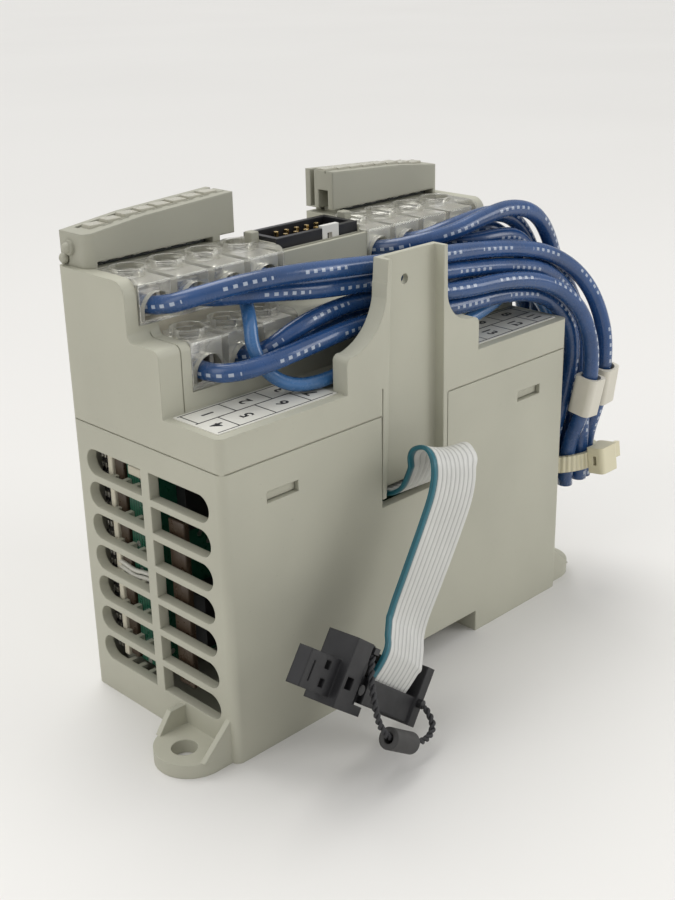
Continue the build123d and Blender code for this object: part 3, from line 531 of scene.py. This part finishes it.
def ribbon_vinyl(name, colour):
    """Soft, faintly uneven vinyl with painted shade in the grooves between the conductors."""
    n = Nodes(name)
    where = n.place_of()
    _, turn = n.place_along()
    across = n.maths("FRACT", n.maths("MULTIPLY", turn, 2.0 * CONDUCTORS))
    # painted shade: the colour darkens in the grooves between the conductors
    painted_groove_shade = n.spread(n.maths("ABSOLUTE", n.maths("SUBTRACT", across, 0.5)), 0.36, 0.48)
    clouds = n.mix(n.spread(n.noise(where, 0.15, 3), 0.3, 0.7), colour, shaded(colour, 0.92))
    n.set(Base_Color=n.mix(n.maths("MULTIPLY", painted_groove_shade, 0.6), clouds, shaded(colour, 0.42)),
          Roughness=n.spread(n.noise(where, 0.7, 3), 0.3, 0.7, 0.30, 0.46),
          Normal=n.bump(n.noise(where, 0.9, 3), 0.04, 0.2),
          Subsurface_Weight=0.05, Subsurface_Radius=(0.0005, 0.0005, 0.0005))
    return n.material


def ribbon_outline():
    """Round conductors side by side: humps on both faces that meet in fine grooves."""
    pitch = RIBBON_W / CONDUCTORS
    top = []
    for i in range(CONDUCTORS):
        for j in range(STEPS_PER_CONDUCTOR):
            part = (j + 0.5) / STEPS_PER_CONDUCTOR
            hump = math.sin(math.pi * part) ** 0.6
            height = RIBBON_T / 2 * (WEB_SHARE + (1 - WEB_SHARE) * hump)
            top.append((-RIBBON_W / 2 + pitch * (i + part), height))
    bottom = [(a, -b) for a, b in reversed(top)]
    return [(a * MM, b * MM) for a, b in top + bottom]


def ribbon_sides(line):
    """Across the flat cable: level at the module, tilting with the plug at the far end."""
    lengths, sides = lengths_along(line), []
    for along, length in zip(tangents(line), lengths):
        free = max((length / lengths[-1] - SLOT_SHARE) / (1 - SLOT_SHARE), 0.0)
        dip = math.radians(PLUG_TURN * (1 - (1 - free) ** 2))
        across = Vector((math.cos(dip), PLUG_SWING * free, -math.sin(dip)))
        sides.append((across - along * across.dot(along)).normalized())
    return sides


def add_ribbon():
    line = smooth_line(RIBBON_ROUTE)
    outline = ribbon_outline()
    mesh = sweep("ribbon", line, ribbon_sides(line), outline)
    white = ribbon_vinyl("white_ribbon", (0.66, 0.66, 0.63))
    teal = ribbon_vinyl("teal_ribbon", (0.012, 0.13, 0.17))
    ribbon = add_piece("ribbon", mesh, "module", [white, teal])
    # the first conductor is the teal one
    edge = (-RIBBON_W / 2 + RIBBON_W / CONDUCTORS) * MM
    for index, face in enumerate(mesh.polygons):
        side = outline[index % len(outline)][0]
        face.material_index = 1 if side < edge - 1e-6 else 0
    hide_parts("bus_cable")


add_ribbon()


# -------------------------------------------------- pull loop on the plug

PULL_ROUTE = [(-29.24, -37.13, 21.81), (-30.53, -37.86, 20.1), (-31.97, -39.47, 18.08),
              (-32.35, -40.47, 14.91), (-32.23, -41.3, 11.58), (-30.54, -41.73, 8.49),
              (-24.84, -41.39, 4.58), (-21.01, -41.54, 3.23), (-18.38, -40.91, 4.02),
              (-17.65, -39.59, 5.6), (-17.25, -37.82, 6.5)]
PULL_D = 1.1
PLY_SHARE = 0.28                # a ply's radius as a share of the cord's diameter
PLY_LAY = 2.4                   # length of cord in which a ply goes round once


def cord_fabric():
    n = Nodes("black_cord")
    where = n.place_of()
    n.set(Base_Color=n.mix(n.noise(where, 3.0, 3), (0.012, 0.012, 0.013), (0.045, 0.045, 0.05)),
          Roughness=0.62, Normal=n.bump(n.noise(where, 5.0, 3), 0.05, 0.6))
    return n.material


def add_pull_cord():
    """Two plies twisted round each other along the loop."""
    line = smooth_line(PULL_ROUTE)
    sides, along, lengths = untwisted_sides(line), tangents(line), lengths_along(line)
    ply = PULL_D * PLY_SHARE * MM
    bm = bmesh.new()
    for start in (0, math.pi):
        helix = []
        for point, side, ahead, length in zip(line, sides, along, lengths):
            turn = start + 2 * math.pi * length / (PLY_LAY * MM)
            outward = side * math.cos(turn) + ahead.cross(side) * math.sin(turn)
            helix.append(point + outward * ply)
        part = sweep("ply", helix, untwisted_sides(helix), circle_outline(ply, 10))
        bm.from_mesh(part)
        bpy.data.meshes.remove(part)
    name = "pull_cord_plies"
    cord = add_piece(name, mesh_from(bm, name), "module", [cord_fabric()])
    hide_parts("pull_cord")


add_pull_cord()


# -------------------------------------------------- materials of the CAD parts

GREY = (0.448, 0.442, 0.360)
TIE_NYLON = (0.70, 0.65, 0.46)
TIE_TEETH = 46.0                # in one turn


def use(material, *names):
    """Puts a material on CAD parts."""
    for name in names:
        mesh = nodes[name].data
        mesh.materials.clear()
        mesh.materials.append(material)


def serrated(name, colour, centre):
    """Nylon strap with cross teeth all round its loop, which lies round an upright axis; the
    hollows between the teeth get painted shade.
    """
    n = Nodes(name)
    where = n.place_of()
    split = n.add("ShaderNodeSeparateXYZ")
    n.link(n.vector("SUBTRACT", where, centre), split.inputs[0])
    angle = n.maths("ARCTAN2", split.outputs["Y"], split.outputs["X"])
    teeth = n.maths("SINE", n.maths("MULTIPLY", angle, TIE_TEETH))
    # painted shade: the hollows between the teeth are darkened in the colour
    painted_hollow_shade = n.spread(teeth, -1.0, -0.3, 0.35, 0.0)
    clouds = n.mix(n.noise(where, 0.4, 3), shaded(colour, 0.93), shaded(colour, 1.05))
    n.set(Base_Color=n.mix(painted_hollow_shade, clouds, shaded(colour, 0.45)),
          Roughness=n.spread(n.noise(where, 0.8, 3), 0.3, 0.7, 0.28, 0.42),
          Normal=n.bump(teeth, 0.12, 0.6, n.soft_edges(0.25)),
          Subsurface_Weight=0.1, Subsurface_Radius=(0.001, 0.0009, 0.0006))
    return n.material


GUARD_CLEAR = clear_plastic("clear_guard")
PACKAGE = moulded_plastic("package_black", (0.020, 0.020, 0.021), rough=0.42, edge_mm=0.15)
CREAM = moulded_plastic("cream_insulator", (0.66, 0.62, 0.50), rough=0.5)
PALE_PART = moulded_plastic("pale_part", (0.72, 0.70, 0.62), grain_mm=0.12, rough=0.4,
                            edge_mm=0.12)
BOARD = board_mask("green_board", (0.008, 0.06, 0.035))
NICKEL = bright_metal("nickel_clamp", (0.62, 0.60, 0.56))

use(moulded_plastic("housing_grey", GREY), "rear_housing")
use(moulded_plastic("cover_grey", shaded(GREY, 1.02)), "front_cover")
# painted shade: the display bars' grey is darkened so that their fronts look shaded
use(moulded_plastic("bar_grey_painted_shade", shaded(GREY, 0.84), edge_mm=0.5),
    "display_bar_left", "display_bar_right")
use(moulded_plastic("latch_grey", shaded(GREY, 0.88)), "rail_latch")
use(GUARD_CLEAR, "guard_upper_left", "guard_upper_right", "guard_lower_left", "guard_lower_right")
use(CREAM, "terminal_block_left", "terminal_block_right")
use(NICKEL, "clamps_left", "clamps_right")
use(bright_metal("zinc_screw", (0.66, 0.65, 0.62), 0.32),
    *[name for name in nodes if name.startswith("screw_")])
use(BOARD, "main_board", "relay_board", "terminal_board")
use(PACKAGE, "main_board_parts", "relay_board_parts")
use(moulded_plastic("header_black", (0.012, 0.012, 0.015), rough=0.36, edge_mm=0.2),
    "header_shell")
use(bright_metal("pin_gold", (0.86, 0.62, 0.26), 0.2), "header_pins")
use(moulded_plastic("key_white", (0.78, 0.77, 0.73), rough=0.4, edge_mm=0.2), "header_key")
use(moulded_plastic("label_white", (0.70, 0.69, 0.63), rough=0.5, edge_mm=0.05),
    "label_left", "label_right")
use(moulded_plastic("lens_milky", (0.50, 0.485, 0.405), grain_mm=0.4, depth_mm=0.01, rough=0.28,
                    edge_mm=0.25), "indicators_left", "indicators_right")
use(moulded_plastic("marker_cream", (0.66, 0.63, 0.54), grain_mm=0.15, rough=0.4, edge_mm=0.2),
    "wire_marker_1", "wire_marker_2")
use(serrated("tie_cream", TIE_NYLON, place(BUNDLE_X, BUNDLE_Y, 0)), "cable_tie_band")
use(moulded_plastic("tie_head_cream", TIE_NYLON, grain_mm=0.15, rough=0.35), "cable_tie_head")
use(moulded_plastic("plug_black", (0.014, 0.014, 0.016), rough=0.5, edge_mm=0.5),
    "plug_body", "plug_back")
use(moulded_plastic("post_black", (0.016, 0.016, 0.018), rough=0.4, edge_mm=0.15), "plug_posts")
use(moulded_plastic("sleeve_rubber", (0.045, 0.044, 0.043), grain_mm=0.3, depth_mm=0.04,
                    rough=0.6, edge_mm=0.4), "pull_sleeve")


# -------------------------------------------------- small parts on the CAD parts

def rounded_boxes(name, boxes, edge_mm, material):
    """One piece of small boxes, each (x0, x1, y0, y1, z0, z1) with all its edges rounded."""
    bm = bmesh.new()
    for x0, x1, y0, y1, z0, z1 in boxes:
        middle = place((x0 + x1) / 2, (y0 + y1) / 2, (z0 + z1) / 2)
        size = Matrix.Diagonal((*(place(x1 - x0, y1 - y0, z1 - z0)), 1))
        made = bmesh.ops.create_cube(bm, size=1.0, matrix=Matrix.Translation(middle) @ size)
        edges = list({edge for vert in made["verts"] for edge in vert.link_edges})
        bmesh.ops.bevel(bm, geom=edges, offset=edge_mm * MM, segments=2, affect="EDGES",
                        profile=0.5)
    add_piece(name, mesh_from(bm, name), "module", [material], smooth=False)


COLLAR_INNER_R, COLLAR_OUTER_R = 2.72, 3.22
COLLAR_SEGMENTS = 32
COLLAR_LEAD_IN, COLLAR_CHAMFER = 0.25, 0.1
COLLAR_HEIGHTS = {"upper": (76.6, 79.6), "lower": (67.6, 70.4)}         # by row: low and high Z


def add_collars(name, places, low, high):
    """Clear tubes round the screws' openings, with a lead-in at the top."""
    inner, outer = COLLAR_INNER_R, COLLAR_OUTER_R
    profile = [(inner, low), (outer - COLLAR_CHAMFER, low), (outer, low + COLLAR_CHAMFER),
               (outer, high), (inner + COLLAR_LEAD_IN, high), (inner, high - COLLAR_LEAD_IN)]
    bm = bmesh.new()
    for x, y in places:
        rings = []
        for i in range(COLLAR_SEGMENTS):
            turn = 2 * math.pi * i / COLLAR_SEGMENTS
            rings.append([bm.verts.new(place(x + r * math.cos(turn), y + r * math.sin(turn), z))
                          for r, z in profile])
        for i in range(COLLAR_SEGMENTS):
            for j in range(len(profile)):
                k = (j + 1) % len(profile)
                bm.faces.new((rings[i][j], rings[i - 1][j], rings[i - 1][k], rings[i][k]))
    bmesh.ops.recalc_face_normals(bm, faces=bm.faces)
    add_piece(name, mesh_from(bm, name), "module", [GUARD_CLEAR], smooth=False)


def screw_places(row):
    """Centres of a row's screws, in millimetres."""
    found = []
    for name in sorted(nodes):
        if name.startswith("screw_" + row):
            low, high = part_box(name)
            found.append(((low.x + high.x) / 2 / MM, (low.y + high.y) / 2 / MM))
    return found


for side in ("left", "right"):
    for row, (low, high) in COLLAR_HEIGHTS.items():
        row_name = row + "_" + side
        add_collars("collars_" + row_name, screw_places(row_name), low, high)


CATCH_X, CATCH_HALF_W = 11.65, 0.95


def add_guard_catches():
    """Catches of the clear guards, beside the expansion header."""
    catches = [(sign * CATCH_X - CATCH_HALF_W, sign * CATCH_X + CATCH_HALF_W, 7.6, 9.6, 79.9, 82.0)
               for sign in (-1, 1)]
    rounded_boxes("guard_catches", catches, 0.25,
                  moulded_plastic("catch_grey", shaded(GREY, 0.8), edge_mm=0.25))


add_guard_catches()


STRIP_ENDS = (17.6, 41.2)
BAR_LIGHTS, FIRST_LIGHT_X, LIGHT_PITCH = 7, 19.3, 3.3


def add_bar_circuit(side, sign):
    """Circuit strip on the floor of a display bar, with light packages and resistors in turn."""
    ends = sorted(sign * x for x in STRIP_ENDS)
    rounded_boxes("bar_strip_" + side, [(*ends, 14.25, 16.55, 80.35, 80.75)], 0.08,
                  moulded_plastic("strip_mask_" + side, (0.010, 0.014, 0.012), rough=0.3,
                                  edge_mm=0.05))
    lights, resistors = [], []
    for i in range(BAR_LIGHTS):
        x = sign * (FIRST_LIGHT_X + LIGHT_PITCH * i)
        lights.append((x - 0.7, x + 0.7, 14.4, 15.4, 80.7, 81.35))
        resistors.append((x + 1.15, x + 1.75, 14.5, 15.6, 80.7, 81.05))
    rounded_boxes("bar_lights_" + side, lights, 0.1, PALE_PART)
    rounded_boxes("bar_resistors_" + side, resistors, 0.06, PACKAGE)


add_bar_circuit("left", -1)
add_bar_circuit("right", 1)


# -------------------------------------------------- what shows through the -X vents

VENT_BACK = -41.2               # X of the backs of the parts that show
PIN_ROWS, PINS_IN_ROW, PIN_PITCH = 2, 21, 1.9
LEAD_HEIGHTS, LEAD_R = (24.2, 25.4, 26.5), 0.42


def add_vent_interior():
    """Edge parts of the two boards close behind the slots."""
    pins = [(-42.3, -41.6, 14.9 + k, 15.5 + k, 8.0 + PIN_PITCH * i, 9.0 + PIN_PITCH * i)
            for i in range(PINS_IN_ROW) for k in range(PIN_ROWS)]
    rounded_boxes("edge_comb", [(-41.7, VENT_BACK, 14.2, 17.0, 7.4, 48.4)], 0.15,
                  PACKAGE)
    rounded_boxes("edge_pins", pins, 0.08, NICKEL)
    rounded_boxes("edge_post", [(-42.6, VENT_BACK, 12.7, 14.0, 7.2, 52.0),
                                (-42.4, VENT_BACK, 4.6, 8.4, 44.9, 46.6)], 0.2, CREAM)
    rounded_boxes("edge_transformer", [(-42.2, VENT_BACK, 10.0, 12.5, 7.6, 51.0),
                                       (-42.5, VENT_BACK, -6.4, -2.2, 8.0, 40.0)],
                  0.25,
                  moulded_plastic("varnished_coil", (0.055, 0.035, 0.022), grain_mm=0.5,
                                  depth_mm=0.12, rough=0.3))
    rounded_boxes("edge_board", [(-41.75, VENT_BACK, 3.6, 9.5, 7.4, 51.6)], 0.05, BOARD)
    for number, height in enumerate(LEAD_HEIGHTS, 1):
        line = smooth_line([(-41.9, 3.2, height), (-42.3, 5.4, height + 0.3),
                            (-42.5, 8.6, height - 0.4), (-42.5, 11.4, height + 0.2),
                            (-42.2, 13.6, height)])
        name = "edge_lead_%d" % number
        mesh = sweep(name, line, untwisted_sides(line), circle_outline(LEAD_R * MM, 12))
        vinyl = moulded_plastic("lead_white_%d" % number, (0.62, 0.61, 0.55), rough=0.4)
        add_piece(name, mesh, "module", [vinyl])


add_vent_interior()


# -------------------------------------------------- printing on the label strips

NUMBER_HEIGHT = 3.3
RULING_THICKNESS = 0.03
# everything on a label is laid out for the right one: X is mirrored for the left one
LONG_RULINGS = ((18.0, 43.0, -12.33, -12.08), (18.0, 43.0, -7.62, -7.42),
                (18.0, 43.0, -17.75, -17.55))                               # x0, x1, y0, y1
UPPER_DIVIDERS, LOWER_DIVIDERS = (42.5, 34.5, 26.6, 18.6), (38.5, 30.7, 22.9)
DIVIDER_HALF_W = 0.11
NUMBER_PLACES = ((38.5, -9.8), (30.5, -9.8), (22.6, -9.8),
                 (40.7, -14.9), (34.6, -14.9), (26.8, -14.9), (20.4, -14.9))


def number_mesh(text, x, y, z, turn):
    """A printed number as a thin flat mesh, centred at a place and turned about Z."""
    curve = bpy.data.curves.new("number", "FONT")
    curve.body = text
    curve.size = NUMBER_HEIGHT * MM
    curve.extrude = 0.015 * MM
    curve.offset = 0.06 * MM
    curve.align_x = "CENTER"
    curve.align_y = "CENTER"
    holder = bpy.data.objects.new("number", curve)
    mesh = bpy.data.meshes.new_from_object(holder)
    mesh.transform(Matrix.Translation(place(x, y, z)) @ Matrix.Rotation(turn, 4, "Z"))
    bpy.data.objects.remove(holder)
    bpy.data.curves.remove(curve)
    return mesh


def add_label_printing(side, sign, first):
    """Cell rulings and terminal numbers, which read with their heads towards the outer end."""
    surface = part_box("label_" + side)[1].z / MM + 0.01
    half = DIVIDER_HALF_W
    rulings = [*LONG_RULINGS, *((x - half, x + half, -12.1, -7.5) for x in UPPER_DIVIDERS),
               *((x - half, x + half, -17.6, -12.3) for x in LOWER_DIVIDERS)]
    bm = bmesh.new()
    for x0, x1, y0, y1 in rulings:
        size = Matrix.Diagonal((*place(x1 - x0, y1 - y0, RULING_THICKNESS), 1))
        middle = Matrix.Translation(place(sign * (x0 + x1) / 2, (y0 + y1) / 2, surface))
        bmesh.ops.create_cube(bm, size=1.0, matrix=middle @ size)
    turn = math.radians(90 * -sign)
    for number, (x, y) in enumerate(NUMBER_PLACES, first):
        digits = number_mesh(str(number), sign * x, y, surface, turn)
        bm.from_mesh(digits)
        bpy.data.meshes.remove(digits)
    name = "label_printing_" + side
    ink = moulded_plastic("ink_black_" + side, (0.02, 0.02, 0.022), grain_mm=0.1, depth_mm=0.005)
    add_piece(name, mesh_from(bm, name), "module", [ink], smooth=False)


add_label_printing("left", -1, 1)
add_label_printing("right", 1, 8)


# -------------------------------------------------- floor and light

FLOOR_SIZE = 6.0                # metres


def add_floor():
    bm = bmesh.new()
    bmesh.ops.create_grid(bm, x_segments=1, y_segments=1, size=FLOOR_SIZE)
    floor = bpy.data.objects.new("floor", mesh_from(bm, "floor"))
    scene.collection.objects.link(floor)
    n = Nodes("pale_floor")
    where = n.place_of()
    clouds = n.noise(where, 0.004, 2)
    n.set(Base_Color=n.mix(clouds, (0.725, 0.715, 0.695), (0.765, 0.755, 0.735)), Roughness=0.6)
    floor.data.materials.append(n.material)


def add_light(name, place_m, aim_m, size_m, watts, colour=(1, 1, 1)):
    light = bpy.data.objects.new(name, bpy.data.lights.new(name, "AREA"))
    light.data.shape = "RECTANGLE"
    light.data.size, light.data.size_y = size_m
    light.data.energy = watts
    light.data.color = colour
    light.location = place_m
    light.rotation_euler = (Vector(aim_m) - Vector(place_m)).to_track_quat("-Z", "Y").to_euler()
    scene.collection.objects.link(light)


def add_sun(name, towards, strength, angle_degrees, colour):
    """Very soft light from one side of the sky, the same over the whole floor."""
    sun = bpy.data.objects.new(name, bpy.data.lights.new(name, "SUN"))
    sun.data.energy = strength
    sun.data.angle = math.radians(angle_degrees)
    sun.data.color = colour
    sun.rotation_euler = Vector(towards).to_track_quat("Z", "Y").to_euler()
    scene.collection.objects.link(sun)


HORIZON, OVERHEAD = (0.74, 0.735, 0.72, 1), (0.88, 0.88, 0.88, 1)
BETWEEN = ((0.10, 0.62), (0.28, 0.40))      # height as a share of the dome's, and grey level


def add_world():
    """Studio dome: pale at the horizon, dimmer above it, brightest overhead."""
    world = bpy.data.worlds.new("studio")
    world.use_nodes = True
    tree = world.node_tree
    split = tree.nodes.new("ShaderNodeSeparateXYZ")
    tree.links.new(tree.nodes.new("ShaderNodeTexCoord").outputs["Generated"], split.inputs[0])
    dome = tree.nodes.new("ShaderNodeValToRGB")
    tree.links.new(split.outputs["Z"], dome.inputs["Fac"])
    levels = dome.color_ramp.elements
    levels[0].position, levels[0].color = 0.0, HORIZON
    levels[1].position, levels[1].color = 1.0, OVERHEAD
    for position, level in BETWEEN:
        levels.new(position).color = (level, level, level, 1)
    tree.links.new(dome.outputs["Color"], tree.nodes["Background"].inputs["Color"])
    scene.world = world


add_floor()
add_world()
add_sun("back_light", towards=(0.15, 0.50, 1.0), strength=1.35, angle_degrees=45,
        colour=(1.0, 0.99, 0.965))
add_light("left_panel", place_m=(-0.55, 0.05, 0.40), aim_m=(0, 0, 0.04), size_m=(0.35, 0.5),
          watts=0.7, colour=(1.0, 0.985, 0.96))
add_light("right_panel", place_m=(0.34, -0.40, 0.26), aim_m=(0.06, 0, 0.05), size_m=(0.25, 0.25),
          watts=0.7)
scene.view_settings.view_transform = "Standard"
